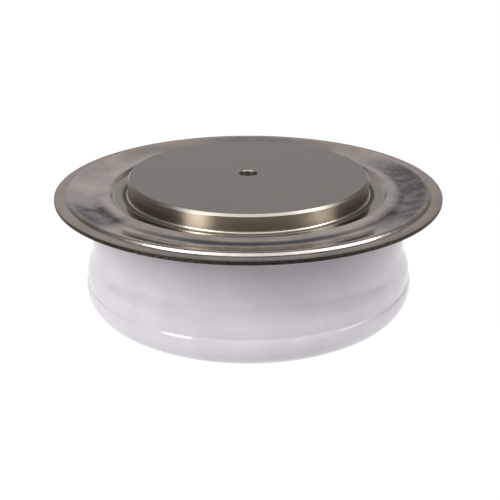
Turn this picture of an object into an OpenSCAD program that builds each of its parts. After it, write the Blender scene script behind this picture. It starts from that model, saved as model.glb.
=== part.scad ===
// Disc thyristor: a silicon switch clamped between two nickel-plated copper poles
// inside a hermetic ring of glazed ceramic. Sheet flanges seal the poles to the ring.
// Z runs through the poles and Z = 0 is the anode pole's contact face.
// The gate terminal leaves the ceramic ring along +Y. All sizes are in millimetres.

/* [Overall] */
// Height over both contact faces
total_h = 26; // [24:0.5:30]
// Diameter of the welded rim
flange_d = 75; // [73:0.5:84]
// Height of the cathode's contact face above the welded rim
face_over_rim = 2.7; // [2:0.1:4]

/* [Poles] */
// Diameter of each contact face
pole_d = 47; // [42:0.5:48]
// Width of the shoulder inside the capsule that each sheet flange is brazed on
shoulder_w = 1.1; // [0.8:0.1:1.4]
// Chamfer round each contact face
face_chamfer = 0.45; // [0.2:0.05:0.8]
// Diameter of the centring hole in each contact face
centring_d = 3.5; // [2.5:0.1:4.5]
// Depth of the centring hole's wall
centring_depth = 2; // [1.5:0.1:2.5]
// Height of the drilled point below that wall
centring_point = 1; // [0.5:0.1:1.2]
// Chamfer at the centring hole's mouth
centring_chamfer = 0.15; // [0.05:0.05:0.4]
// Height of the anode pole
anode_pole_h = 10; // [8:0.25:11.5]
// Height of the anode pole's boss below its flange
anode_boss_h = 3; // [2.2:0.1:4]

/* [Ceramic ring] */
// Gap between a pole and the ceramic bore
bore_gap = 1.6; // [1.2:0.1:2.5]
// Thickness of the ceramic wall at the waist
ceramic_wall = 4.6; // [3.8:0.1:4.8]
// Height of the ceramic's foot above the anode's contact face
ceramic_stand = 0.4; // [0.3:0.1:1]
// Depth of the recess in the foot that the base flange is brazed in
seat_recess = 0.5; // [0.4:0.1:0.8]
// Width of the flat foot outside that recess
foot_w = 0.6; // [0.4:0.1:1]
// Height of the groove above the foot
groove_h = 5.9; // [5.6:0.1:7]
// Depth of the groove between the wall and the bead
groove_depth = 0.1; // [0.05:0.05:0.3]
// Height of the straight wall between the groove and the flare
belt_h = 1; // [0.5:0.1:1.5]
// How far the bead below the groove stands out from the waist
bead_out = 1.7; // [1.5:0.1:2.4]
// Height over which the bead is rounded under
bead_round_h = 4.7; // [3.5:0.1:4.8]
// How far the wall flares out above the groove
flare_out = 1.3; // [0.6:0.1:1.4]
// Height of the flare
flare_h = 5; // [4:0.1:6]
// Chamfer on the edges of the ceramic bore
bore_chamfer = 0.5; // [0.4:0.1:0.8]
// Radius of the ceramic's upper edge
edge_round = 0.4; // [0.2:0.1:0.8]
// Radius of the edge between the recess and the foot
foot_round = 0.15; // [0.1:0.05:0.3]

/* [Sheet flanges] */
// Thickness of the lid flange
lid_t = 0.35; // [0.25:0.05:0.5]
// Thickness of the weld ring
weld_ring_t = 0.35; // [0.25:0.05:0.5]
// Thickness of the base flange
base_flange_t = 0.35; // [0.25:0.05:0.45]
// Depth of the lid's inner moat below the rim
moat_depth = 0.7; // [0.4:0.1:1]
// Width of the moat's flat floor
moat_w = 3; // [2:0.1:3.4]
// Width of the slope between the moat and the crest
riser_w = 0.7; // [0.5:0.1:1]
// Width of the lid's raised crest outside the moat
crest_w = 1.6; // [1.2:0.1:2.2]
// Height of the crest's inner edge above the rim
crest_h = 0.15; // [0.1:0.05:0.3]
// Depth of the lid's outer valley below the rim
valley_depth = 0.35; // [0.2:0.05:0.6]
// Part of the way from crest to ridge that falls into the valley
valley_fall = 0.2; // [0.15:0.01:0.3]
// Part of the way from crest to ridge that is the valley's flat floor
valley_floor = 0.14; // [0.1:0.01:0.2]
// Width of the flat rim where the two sheets are welded
weld_land_w = 2.1; // [1.6:0.1:2.6]
// Height of the small ridge inside the welded rim
ridge_h = 0.5; // [0.3:0.05:0.6]
// Width of the ridge's top
ridge_w = 0.4; // [0.3:0.05:0.6]
// Width of the ridge's outer slope
ridge_slope_w = 0.45; // [0.35:0.05:0.6]
// Radius of each tight bend, at the middle of the sheet
bend_r = 0.4; // [0.35:0.05:0.6]
// Radius of the lid's gentle bends, at the middle of the sheet
valley_bend_r = 2.4; // [1.5:0.1:3]
// Gap between the lid and the weld ring inside the capsule
lid_gap = 0.3; // [0.2:0.1:0.6]
// Width of the weld ring's slope between the ceramic and the welded rim
ring_slope_w = 1.3; // [0.8:0.1:1.8]
// Gap between the base flange's wall and the ceramic bore
base_gap = 0.2; // [0.1:0.05:0.3]
// Width of the base flange's seat under the ceramic
base_seat_w = 1.7; // [1.2:0.1:2.2]
// Leg of the braze fillet at the foot of each pole
braze_leg = 0.35; // [0.2:0.05:0.5]

/* [Silicon stack] */
// Thickness of each silver shim
shim_t = 0.15; // [0.1:0.05:0.3]
// Thickness of the anode's molybdenum disc
anode_disc_t = 2; // [1.5:0.1:2.5]
// Thickness of the silicon wafer
wafer_t = 0.6; // [0.4:0.1:0.9]
// Thickness of the cathode's molybdenum disc
cathode_disc_t = 1.5; // [1:0.1:2]
// Distance from the anode disc's edge to the wafer's edge
wafer_margin = 1; // [0.6:0.1:1.6]
// Width of the bevel ground round the wafer
bevel_w = 1.4; // [0.8:0.1:2]
// Distance from the bevel to the cathode disc
cathode_margin = 0.6; // [0.5:0.1:1.2]
// Height of the rubber seal above the wafer
seal_h = 0.4; // [0.3:0.1:0.8]
// Radius of the rubber seal's edges
seal_round = 0.3; // [0.1:0.05:0.35]
// Wall of the centring ring beside the anode disc
ring_wall = 1.05; // [0.8:0.05:1.4]
// Height of the seat turned on the anode pole for the centring ring
ring_seat_h = 1.5; // [1:0.1:2.5]
// Clearance between stacked discs and the rings round them
stack_clear = 0.05; // [0.02:0.01:0.1]

/* [Gate] */
// Diameter of the gate bore in the cathode pole
gate_bore_d = 7; // [6.4:0.1:8]
// Depth of the gate bore
gate_bore_depth = 7; // [6.5:0.1:7.5]
// Clearance round the gate insulator
gate_clear = 0.1; // [0.05:0.05:0.2]
// Wall of the gate insulator
insulator_wall = 0.9; // [0.6:0.1:1.1]
// Diameter of the contact pin's tip
tip_d = 2; // [1.4:0.1:2.6]
// Chamfer on the ends of the contact pin and the terminal
pin_chamfer = 0.3; // [0.1:0.05:0.5]
// Diameter of the contact pin's head
head_d = 4.4; // [4:0.1:4.4]
// Height of the contact pin's head
head_h = 1.2; // [1:0.1:1.6]
// Diameter of the spring's wire
spring_wire_d = 0.4; // [0.3:0.05:0.5]
// Mean diameter of the spring's coil
spring_d = 3.4; // [2.8:0.1:3.6]
// Number of the spring's turns
spring_turns = 5; // [4:1:6]
// Turns that lie flat at each end of the spring
spring_flat_turns = 0.25; // [0.2:0.05:0.5]
// Diameter of the gate lead
lead_d = 0.6; // [0.4:0.1:0.7]
// Depth of the lead's weld in the pin's head and in the terminal
lead_grip = 1.2; // [0.6:0.1:1.5]
// Diameter of the sleeve on the gate lead
sleeve_d = 1.1; // [1:0.1:1.3]
// Width and height of the slot for the lead in the cathode pole
lead_slot = 2.4; // [2.2:0.1:3]
// Outer diameter of the feedthrough tube
tube_d = 2.6; // [2.4:0.1:3.2]
// Wall of the feedthrough tube
tube_wall = 0.35; // [0.25:0.05:0.45]
// Diameter of the feedthrough's collar
collar_d = 5.6; // [4.6:0.1:6]
// Thickness of the feedthrough's collar
collar_t = 0.6; // [0.4:0.1:0.8]
// Length of the tube outside the ceramic wall
tube_out = 2.4; // [1.8:0.1:3]
// Length of the tube inside the ceramic bore
tube_in = 0.3; // [0.2:0.1:0.6]
// Diameter of the gate terminal's pin
terminal_d = 1.5; // [1.2:0.1:1.6]
// Free length of the gate terminal's pin
terminal_l = 3.4; // [2.5:0.1:3.8]

/* [Hidden] */
// Segments of a full turn on large, medium and small round pieces
fine = 180;
medium = 64;
small = 32;
// Segments of each rounded corner in a section
arc_steps = 7;
// Part of a side that the rounding of its two corners may take up
corner_share = 0.98;
// How far a cut runs past the face it opens
past = 0.5;

// Levels from the anode's contact face up
disc_a_z = anode_pole_h + shim_t;
wafer_z = disc_a_z + anode_disc_t;
disc_c_z = wafer_z + wafer_t;
shim_c_z = disc_c_z + cathode_disc_t;
cathode_z = shim_c_z + shim_t;
rim_z = total_h - face_over_rim;
moat_z = rim_z - moat_depth;
lid_seat_z = moat_z - lid_t;
valley_z = rim_z - valley_depth;
weld_land_z = rim_z - lid_t;
ring_flat_z = min(lid_seat_z, valley_z - lid_t) - lid_gap;
ceramic_top_z = ring_flat_z - weld_ring_t;
seat_z = ceramic_stand + seat_recess;
groove_z = ceramic_stand + groove_h;
lead_z = cathode_z + lead_slot / 2;
gate_top_z = cathode_z + gate_bore_depth;
ring_seat_z = anode_pole_h - ring_seat_h;

// Radii from the axis out
pole_r = pole_d / 2;
shoulder_r = pole_r + shoulder_w;
bore_r = shoulder_r + bore_gap;
waist_r = bore_r + ceramic_wall;
bead_r = waist_r + bead_out;
flare_r = waist_r + flare_out;
rim_r = flange_d / 2;
ring_r = bore_r - 2 * stack_clear;
disc_a_r = ring_r - ring_wall - stack_clear;
ring_seat_r = shoulder_r - shoulder_w / 2;
wafer_r = disc_a_r - wafer_margin;
wafer_top_r = wafer_r - bevel_w;
disc_c_r = wafer_top_r - cathode_margin;
gate_bore_r = gate_bore_d / 2;
insulator_r = gate_bore_r - gate_clear;
insulator_bore_r = insulator_r - insulator_wall;
seat_r = bore_r + base_seat_w;

// The gate feedthrough, measured along Y
spot_face_y = waist_r - collar_t;
tube_end_y = spot_face_y + collar_t + tube_out;
terminal_y = tube_end_y - tube_out;
lead_start_y = head_d / 2 - lead_grip;

// Unit vector along v
function unit(v) = v / norm(v);

// Points of an arc of radius r that rounds the corner at b between a and c,
// or of the largest arc that leaves the next corners their share of each side
function corner_arc(a, b, c, wanted, share_a, share_c) =
    let (u = unit(a - b),
         v = unit(c - b),
         half = acos(u * v) / 2,
         room = min(norm(a - b) * share_a, norm(c - b) * share_c) * tan(half),
         r = min(wanted, room),
         centre = b + unit(u + v) * r / sin(half),
         p = b + u * r / tan(half),
         q = b + v * r / tan(half),
         start = atan2(p.y - centre.y, p.x - centre.x),
         end = atan2(q.y - centre.y, q.x - centre.x),
         turn = (end - start + 540) % 360 - 180)
    [for (i = [0:arc_steps])
        let (at = start + turn * i / arc_steps)
        centre + r * [cos(at), sin(at)]];

// Path through corners, each given as [radius, height, rounding]
function rounded_path(corners) =
    let (last = len(corners) - 1,
         p = [for (c = corners) [c.x, c.y]],
         r = [for (c = corners) c.z])
    [for (i = [0:last])
        each (r[i] == 0
            ? [p[i]]
            : corner_arc(p[i - 1], p[i], p[i + 1], r[i],
                corner_share * r[i] / (r[i] + r[i - 1]),
                corner_share * r[i] / (r[i] + r[i + 1])))];

// Point i of a path, moved to the right of its direction by t
function beside(path, i, t) =
    let (last = len(path) - 1,
         a = max(i, 1),
         b = min(i + 1, last),
         before = unit(path[a] - path[a - 1]),
         after = unit(path[b] - path[b - 1]),
         normal = unit([before.y + after.y, -before.x - after.x]))
    path[i] + normal * t / (normal * [before.y, -before.x]);

// Section of a sheet of thickness t along a path through its middle
function sheet(path, t) = concat(
    [for (i = [0:len(path) - 1]) beside(path, i, -t / 2)],
    [for (i = [len(path) - 1:-1:0]) beside(path, i, t / 2)]);

// Solid turned about the Z axis from a section
module turned(section, facets = fine) {
    rotate_extrude($fn = facets)
        polygon(section);
}

// Flat disc with an optional hole
module disc(z, r, t, hole_r = 0) {
    difference() {
        translate([0, 0, z])
            cylinder(h = t, r = r, $fn = fine);
        if (hole_r > 0)
            translate([0, 0, z - past])
                cylinder(h = t + 2 * past, r = hole_r, $fn = medium);
    }
}

// Round bar along Y at the height of the gate lead
module lead_bar(y, length, r) {
    translate([0, y, lead_z])
        rotate([-90, 0, 0])
            cylinder(h = length, r = r, $fn = small);
}

// Centring hole with a chamfered mouth and a drilled point, its mouth at z = 0
module centring_hole() {
    r = centring_d / 2;
    rotate_extrude($fn = small)
        polygon([
            [0, past],
            [r + centring_chamfer, past],
            [r + centring_chamfer, 0],
            [r, -centring_chamfer],
            [r, -centring_depth],
            [0, -centring_depth - centring_point]
        ]);
}

module anode_pole() {
    edge = face_chamfer;
    color([0.62, 0.61, 0.58])
        difference() {
            turned([
                [0, 0],
                [pole_r - edge, 0],
                [pole_r, edge],
                [pole_r, anode_boss_h],
                [shoulder_r, anode_boss_h],
                [shoulder_r, ring_seat_z],
                [ring_seat_r, ring_seat_z],
                [ring_seat_r, anode_pole_h],
                [0, anode_pole_h]
            ]);
            mirror([0, 0, 1])
                centring_hole();
        }
}

module cathode_pole() {
    edge = face_chamfer;
    color([0.62, 0.61, 0.58])
        difference() {
            turned([
                [0, cathode_z],
                [shoulder_r - edge, cathode_z],
                [shoulder_r, cathode_z + edge],
                [shoulder_r, lid_seat_z],
                [pole_r, lid_seat_z],
                [pole_r, total_h - edge],
                [pole_r - edge, total_h],
                [0, total_h]
            ]);
            translate([0, 0, total_h])
                centring_hole();
            translate([0, 0, cathode_z - past])
                cylinder(h = gate_bore_depth + past, r = gate_bore_r, $fn = medium);
            translate([-lead_slot / 2, 0, cathode_z - past])
                cube([lead_slot, shoulder_r + past, lead_slot + past]);
        }
}

// Ring of glazed alumina. Its wall flares out along a half cosine to a groove,
// and the bead below the groove is rounded under along a quarter ellipse.
module ceramic_ring() {
    steps = 12;
    recess_r = seat_r + base_gap;
    round_w = bead_r - recess_r - foot_w;
    shoulder_h = groove_h - bead_round_h;
    foot = rounded_path([
        [bore_r + bore_chamfer, seat_z, 0],
        [recess_r, seat_z, 0],
        [recess_r, ceramic_stand, foot_round],
        [bead_r - round_w, ceramic_stand, 0]
    ]);
    underside = [for (i = [1:steps]) [
        bead_r - round_w * (1 - sin(90 * i / steps)),
        ceramic_stand + bead_round_h * (1 - cos(90 * i / steps))
    ]];
    groove = rounded_path([
        [bead_r, ceramic_stand + bead_round_h, 0],
        [bead_r, groove_z - shoulder_h / 3, shoulder_h / 2],
        [flare_r - groove_depth, groove_z, shoulder_h / 3],
        [flare_r, groove_z + shoulder_h / 2, shoulder_h],
        [flare_r, groove_z + shoulder_h / 2 + belt_h, 0]
    ]);
    flare = [for (i = [1:steps]) [
        flare_r - flare_out * (1 - cos(180 * i / steps)) / 2,
        groove_z + shoulder_h / 2 + belt_h + flare_h * i / steps
    ]];
    top = rounded_path([
        [waist_r, groove_z + belt_h + flare_h + shoulder_h, 0],
        [waist_r, ceramic_top_z, edge_round],
        [bore_r + bore_chamfer, ceramic_top_z, 0],
        [bore_r, ceramic_top_z - bore_chamfer, 0],
        [bore_r, seat_z + bore_chamfer, 0]
    ]);
    color([0.86, 0.85, 0.88])
        difference() {
            turned(concat(foot, underside, [for (i = [1:len(groove) - 1]) groove[i]], flare, top));
            lead_bar(bore_r - past, ceramic_wall + 2 * past, tube_d / 2);
            lead_bar(spot_face_y, bead_out + past, collar_d / 2 + gate_clear);
        }
}

// Formed sheet between the cathode pole and the welded rim
module lid_flange() {
    half = lid_t / 2;
    crest_start = pole_r + moat_w + riser_w;
    crest_end = crest_start + crest_w;
    ridge_end = rim_r - weld_land_w - ridge_slope_w;
    ridge_start = ridge_end - ridge_w;
    across = ridge_start - crest_end;
    valley_start = crest_end + valley_fall * across;
    path = rounded_path([
        [pole_r, moat_z - half, 0],
        [crest_start - riser_w, moat_z - half, bend_r],
        [crest_start, rim_z + crest_h - half, bend_r],
        [crest_end, rim_z - half, valley_bend_r],
        [valley_start, valley_z - half, valley_bend_r],
        [valley_start + valley_floor * across, valley_z - half, valley_bend_r],
        [ridge_start, rim_z + ridge_h - half, bend_r],
        [ridge_end, rim_z + ridge_h - half, bend_r],
        [ridge_end + ridge_slope_w, rim_z - half, bend_r],
        [rim_r, rim_z - half, 0]
    ]);
    color([0.70, 0.66, 0.60])
        turned(sheet(path, lid_t));
}

// Formed sheet brazed on the ceramic and welded to the lid round the rim
module weld_ring() {
    half = weld_ring_t / 2;
    land_start = rim_r - weld_land_w;
    path = rounded_path([
        [bore_r + bore_chamfer, ring_flat_z - half, 0],
        [land_start - ring_slope_w, ring_flat_z - half, bend_r],
        [land_start, weld_land_z - half, bend_r],
        [rim_r, weld_land_z - half, 0]
    ]);
    color([0.66, 0.62, 0.56])
        turned(sheet(path, weld_ring_t));
}

// Cupped sheet between the anode pole and the recess in the ceramic's foot
module base_flange() {
    half = base_flange_t / 2;
    wall_r = bore_r - base_gap - half;
    path = rounded_path([
        [pole_r, anode_boss_h - half, 0],
        [wall_r, anode_boss_h - half, bend_r],
        [wall_r, seat_z - half, bend_r],
        [seat_r, seat_z - half, 0]
    ]);
    color([0.66, 0.62, 0.56])
        turned(sheet(path, base_flange_t));
}

// Braze fillet in the corner between a pole and its flange, rising by the leg
module braze_fillet(z, rise) {
    corner = [braze_leg + pole_r, rise * braze_leg];
    arc = [for (i = [0:arc_steps]) corner
        - [braze_leg * cos(90 * i / arc_steps), rise * braze_leg * sin(90 * i / arc_steps)]];
    color([0.80, 0.79, 0.75])
        translate([0, 0, z])
            turned(concat([[pole_r, 0]], arc));
}

module lid_braze_fillet() {
    braze_fillet(moat_z, 1);
}

module base_braze_fillet() {
    braze_fillet(anode_boss_h - base_flange_t, -1);
}

module anode_shim() {
    color([0.85, 0.85, 0.86])
        disc(anode_pole_h, ring_seat_r, shim_t);
}

module anode_molybdenum_disc() {
    color([0.50, 0.50, 0.52])
        disc(disc_a_z, disc_a_r, anode_disc_t);
}

// Silicon with its edge ground to a bevel
module silicon_wafer() {
    color([0.25, 0.26, 0.31])
        turned([
            [0, wafer_z],
            [wafer_r, wafer_z],
            [wafer_top_r, disc_c_z],
            [0, disc_c_z]
        ]);
}

// Silicone rubber cast over the wafer's bevelled edge
module edge_seal_ring() {
    lap = cathode_margin / 2;
    path = rounded_path([
        [wafer_r, wafer_z, 0],
        [disc_a_r - stack_clear, wafer_z, 0],
        [disc_a_r - stack_clear, disc_c_z + seal_h, seal_round],
        [wafer_top_r, disc_c_z + seal_h, seal_round],
        [wafer_top_r - lap, disc_c_z, 0],
        [wafer_top_r, disc_c_z, 0]
    ]);
    color([0.92, 0.91, 0.88])
        turned(path);
}

// Plastic ring that keeps the anode disc central on its pole
module centring_ring() {
    inner_r = ring_seat_r + stack_clear;
    disc_r = disc_a_r + stack_clear;
    color([0.93, 0.93, 0.90])
        turned([
            [inner_r, ring_seat_z],
            [ring_r, ring_seat_z],
            [ring_r, wafer_z],
            [disc_r, wafer_z],
            [disc_r, disc_a_z],
            [inner_r, disc_a_z]
        ]);
}

module cathode_molybdenum_disc() {
    color([0.50, 0.50, 0.52])
        disc(disc_c_z, disc_c_r, cathode_disc_t, gate_bore_r);
}

module cathode_shim() {
    color([0.85, 0.85, 0.86])
        disc(shim_c_z, disc_c_r, shim_t, gate_bore_r);
}

// Cup that insulates the gate contact from the cathode pole
module gate_insulator() {
    foot_z = disc_c_z + 2 * gate_clear;
    notch_w = sleeve_d + 2 * gate_clear;
    inside_h = gate_top_z - foot_z - insulator_wall;
    color([0.94, 0.93, 0.89])
        difference() {
            translate([0, 0, foot_z])
                cylinder(h = gate_top_z - foot_z, r = insulator_r, $fn = medium);
            translate([0, 0, foot_z - past])
                cylinder(h = inside_h + past, r = insulator_bore_r, $fn = medium);
            translate([-notch_w / 2, 0, foot_z - past])
                cube([notch_w, gate_bore_r, lead_z + notch_w / 2 - foot_z + past]);
        }
}

// Pin that carries the gate current to the middle of the wafer
module gate_contact_pin() {
    tip_r = tip_d / 2;
    head_z = lead_z - head_h / 2;
    color([0.80, 0.78, 0.70])
        difference() {
            rotate_extrude($fn = small)
                polygon([
                    [0, disc_c_z],
                    [tip_r - pin_chamfer, disc_c_z],
                    [tip_r, disc_c_z + pin_chamfer],
                    [tip_r, head_z],
                    [head_d / 2, head_z],
                    [head_d / 2, head_z + head_h],
                    [0, head_z + head_h]
                ]);
            lead_bar(lead_start_y, head_d, lead_d / 2);
        }
}

// Compression spring with flat ends, swept along its turns
module gate_spring() {
    sides = 8;
    per_turn = 20;
    steps = spring_turns * per_turn;
    foot = lead_z + head_h / 2;
    top = gate_top_z - insulator_wall;
    closed = spring_flat_turns / spring_turns;
    flat = spring_wire_d / 2;
    corner_r = flat / cos(180 / sides);
    rise = top - foot - 2 * flat;
    // Height of the wire's centre at the fraction t of its length
    function wire_z(t) = foot + flat + rise * max(0, min(1, (t - closed) / (1 - 2 * closed)));
    points = [
        for (i = [0:steps], j = [0:sides - 1])
            let (turn = 360 * i / per_turn,
                 side = 360 * (j + 0.5) / sides,
                 reach = spring_d / 2 + corner_r * cos(side))
            [reach * cos(turn), reach * sin(turn), wire_z(i / steps) + corner_r * sin(side)]
    ];
    walls = [
        for (i = [0:steps - 1], j = [0:sides - 1])
            let (k = (j + 1) % sides)
            each [
                [i * sides + j, i * sides + k, (i + 1) * sides + j],
                [i * sides + k, (i + 1) * sides + k, (i + 1) * sides + j]
            ]
    ];
    start_cap = [[for (j = [sides - 1:-1:0]) j]];
    end_cap = [[for (j = [0:sides - 1]) steps * sides + j]];
    color([0.70, 0.70, 0.70])
        polyhedron(points = points, faces = concat(walls, start_cap, end_cap), convexity = 10);
}

module gate_lead() {
    color([0.75, 0.74, 0.70])
        lead_bar(lead_start_y, terminal_y + lead_grip - lead_start_y, lead_d / 2);
}

// Plastic sleeve on the lead where it crosses the cathode pole
module gate_lead_sleeve() {
    start = head_d / 2 + gate_clear;
    length = shoulder_r + bore_gap / 2 - start;
    color([0.95, 0.94, 0.92])
        difference() {
            lead_bar(start, length, sleeve_d / 2);
            lead_bar(start - past, length + 2 * past, lead_d / 2);
        }
}

// Collared tube brazed through the ceramic wall
module gate_feedthrough() {
    inner_y = bore_r - tube_in;
    color([0.66, 0.62, 0.56])
        difference() {
            union() {
                lead_bar(inner_y, tube_end_y - inner_y, tube_d / 2);
                lead_bar(spot_face_y, collar_t, collar_d / 2);
            }
            lead_bar(inner_y - past, tube_end_y - inner_y + 2 * past, tube_d / 2 - tube_wall);
        }
}

// Plug pin brazed in the tube's outer end, with the lead welded in its root
module gate_terminal() {
    plug_r = tube_d / 2 - tube_wall;
    pin_r = terminal_d / 2;
    length = tube_out + terminal_l;
    color([0.80, 0.78, 0.70])
        difference() {
            translate([0, terminal_y, lead_z])
                rotate([-90, 0, 0])
                    rotate_extrude($fn = small)
                        polygon([
                            [0, 0],
                            [plug_r, 0],
                            [plug_r, tube_out],
                            [pin_r, tube_out],
                            [pin_r, length - pin_chamfer],
                            [pin_r - pin_chamfer, length],
                            [0, length]
                        ]);
            lead_bar(terminal_y - past, lead_grip + past, lead_d / 2);
        }
}

anode_pole();
base_flange();
base_braze_fillet();
ceramic_ring();
weld_ring();
lid_flange();
lid_braze_fillet();
cathode_pole();
anode_shim();
anode_molybdenum_disc();
silicon_wafer();
edge_seal_ring();
centring_ring();
cathode_molybdenum_disc();
cathode_shim();
gate_insulator();
gate_contact_pin();
gate_spring();
gate_lead();
gate_lead_sleeve();
gate_feedthrough();
gate_terminal();
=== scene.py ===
import math

import bpy
import numpy as np
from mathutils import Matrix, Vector


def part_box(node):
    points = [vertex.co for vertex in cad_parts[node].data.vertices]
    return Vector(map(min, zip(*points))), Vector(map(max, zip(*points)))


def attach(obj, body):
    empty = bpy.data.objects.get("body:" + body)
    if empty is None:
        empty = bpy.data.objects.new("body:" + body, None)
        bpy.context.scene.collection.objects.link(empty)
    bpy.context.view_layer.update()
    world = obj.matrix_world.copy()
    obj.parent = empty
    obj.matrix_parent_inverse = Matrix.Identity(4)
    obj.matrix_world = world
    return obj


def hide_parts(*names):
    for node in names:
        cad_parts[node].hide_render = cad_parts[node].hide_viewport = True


# The looks of a disc thyristor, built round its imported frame.
# Sizes and places are in millimetres. Only the lamps, the shell, the floor's reach and the camera's
# distance are in metres, as Blender's own lengths are.
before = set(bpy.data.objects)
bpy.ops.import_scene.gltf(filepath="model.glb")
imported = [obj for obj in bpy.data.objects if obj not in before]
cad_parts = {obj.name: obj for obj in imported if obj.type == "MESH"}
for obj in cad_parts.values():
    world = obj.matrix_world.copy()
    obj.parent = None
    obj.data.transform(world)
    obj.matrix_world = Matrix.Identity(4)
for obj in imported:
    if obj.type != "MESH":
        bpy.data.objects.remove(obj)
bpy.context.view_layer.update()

MM = 0.001


def low(node, axis):
    """Lowest coordinate of a node's box along an axis, in millimetres."""
    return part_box(node)[0]["xyz".index(axis)] / MM


def high(node, axis):
    """Highest coordinate of a node's box along an axis, in millimetres."""
    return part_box(node)[1]["xyz".index(axis)] / MM


# Sizes that the boxes of the nodes don't give
SHEET_T = 0.35
BEND_R = 0.4
SHOULDER_STEP = 1.1
FACE_CHAMFER = 0.45
CENTRING_R = 1.75
CENTRING_DEPTH = 2.0
CENTRING_POINT = 1.0
CENTRING_CHAMFER = 0.15
BORE_GAP = 1.6
BORE_CHAMFER = 0.5
BEAD_OUT = 1.7
FLARE_OUT = 1.3
RIDGE_H = 0.5
VALLEY_DEPTH = 0.35
WELD_LAND_W = 2.1
SEAM_W = 0.07
CUP_CLEAR = 0.2
EDGE_BREAK = 0.06

# Levels from the anode's contact face up
TOP_Z = high("cathode_pole", "z")
CATHODE_Z = low("cathode_pole", "z")
LID_SEAT_Z = low("lid_flange", "z")
MOAT_Z = LID_SEAT_Z + SHEET_T
RIM_Z = high("lid_flange", "z") - RIDGE_H
VALLEY_Z = RIM_Z - VALLEY_DEPTH
WELD_LAND_Z = RIM_Z - SHEET_T
RING_FLAT_Z = low("weld_ring", "z") + SHEET_T
ANODE_BOSS_H = high("base_flange", "z")
ANODE_TOP_Z = high("anode_pole", "z")
RING_SEAT_Z = low("centring_ring", "z")
SEAT_Z = low("base_flange", "z") + SHEET_T
STAND_Z = low("ceramic_ring", "z")
CERAMIC_TOP_Z = high("ceramic_ring", "z")

# Radii from the axis out
SHOULDER_R = high("cathode_pole", "x")
POLE_R = SHOULDER_R - SHOULDER_STEP
RING_SEAT_R = high("anode_shim", "x")
BORE_R = SHOULDER_R + BORE_GAP
BASE_SEAT_R = high("base_flange", "x")
BEAD_R = high("ceramic_ring", "x")
WAIST_R = BEAD_R - BEAD_OUT
FLARE_R = WAIST_R + FLARE_OUT
RIM_R = high("lid_flange", "x")

# The gate's bore, slot and feedthrough
INSULATOR_CLEAR = 0.1
GATE_BORE_R = high("gate_insulator", "x") + INSULATOR_CLEAR
GATE_TOP_Z = high("gate_insulator", "z")
SLOT_W = 2.4
LEAD_Z = CATHODE_Z + SLOT_W / 2
TUBE_R = 1.3
TUBE_WALL = 0.35
COLLAR_R = high("gate_feedthrough", "x")
COLLAR_T = 0.6
COLLAR_CLEAR = 0.1
TUBE_START_Y = low("gate_feedthrough", "y")
TUBE_END_Y = high("gate_feedthrough", "y")
SPOT_FACE_Y = WAIST_R - COLLAR_T

# Fineness of the turned surfaces
SIDES = 400
SMALL_SIDES = 96
ARC_STEP_DEG = 5
CURVE_POINTS = 25
FILLET_POINTS = 13
SHEET_END_POINTS = 9
EDGE_LOOP = 0.02
SHARP_DEG = 32

# How far a cutter reaches past what it cuts, and how close to a level a face still lies on it
CUT_PAST = 0.5
ON_LEVEL = 0.01


def arc_corner(before, corner, after, radius):
    """Points of the circle of this radius that touches both sides of a corner.
    Its centre lies on the bisector, radius / sin(half) from the corner, where half is half the
    corner's angle. A point on each side, just past where the circle ends, keeps the sides flat."""
    u = (before - corner) / np.linalg.norm(before - corner)
    v = (after - corner) / np.linalg.norm(after - corner)
    half = math.acos(np.clip(u @ v, -1, 1)) / 2
    reach = radius / math.tan(half)
    bisector = (u + v) / np.linalg.norm(u + v)
    centre = corner + bisector * radius / math.sin(half)
    start, end = corner + u * reach, corner + v * reach
    first = math.atan2(*(start - centre)[::-1])
    turn = math.atan2(*(end - centre)[::-1]) - first
    turn = (turn + math.pi) % (2 * math.pi) - math.pi
    steps = max(2, math.ceil(abs(math.degrees(turn)) / ARC_STEP_DEG))
    angle = first + turn * np.arange(steps + 1) / steps
    ring = centre + radius * np.stack([np.cos(angle), np.sin(angle)], 1)
    return np.concatenate([[start + u * EDGE_LOOP], ring, [end + v * EDGE_LOOP]])


def profile(corners, closed=True):
    """Outline through corners (r, z, rounding). A corner of no rounding stays as it is."""
    points = np.array([c[:2] for c in corners], float)
    out = []
    for i, (_, _, radius) in enumerate(corners):
        inner = closed or 0 < i < len(corners) - 1
        if radius > 0 and inner:
            out.append(arc_corner(points[i - 1], points[i], points[(i + 1) % len(points)], radius))
        else:
            out.append(points[i:i + 1])
    return np.concatenate(out)


def turned_grid(outline, sides, closed):
    """Points and faces of an outline swept about Z: (r, z) becomes (r cos a, r sin a, z) at each
    angle a. A closed outline joins its end to its start. An open one starts and ends on the axis,
    and closes there in a fan about one point."""
    angle = 2 * np.pi * np.arange(sides) / sides
    rows = outline if closed else outline[1:-1]
    grid = np.stack([
        rows[:, :1] * np.cos(angle),
        rows[:, :1] * np.sin(angle),
        np.repeat(rows[:, 1:], sides, 1)], 2).reshape(-1, 3)
    i, j = np.meshgrid(np.arange(len(rows) - (not closed)), np.arange(sides), indexing="ij")
    after_i, after_j = (i + 1) % len(rows), (j + 1) % sides
    quads = np.stack([
        i * sides + j, i * sides + after_j, after_i * sides + after_j, after_i * sides + j], 2)
    faces = quads.reshape(-1, 4).tolist()
    if not closed:
        ring = np.arange(sides)
        after = (ring + 1) % sides
        last = (len(rows) - 1) * sides
        start, end = len(grid), len(grid) + 1
        grid = np.concatenate([grid, [[0, 0, outline[0, 1]], [0, 0, outline[-1, 1]]]])
        faces += np.stack([np.full(sides, start), after, ring], 1).tolist()
        faces += np.stack([last + ring, last + after, np.full(sides, end)], 1).tolist()
    return grid, faces


def laid_on_lead(grid):
    """Points swept about Z, laid on the gate lead: their z runs along Y, at the lead's height."""
    return np.stack([grid[:, 0], grid[:, 2], LEAD_Z - grid[:, 1]], 1)


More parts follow.
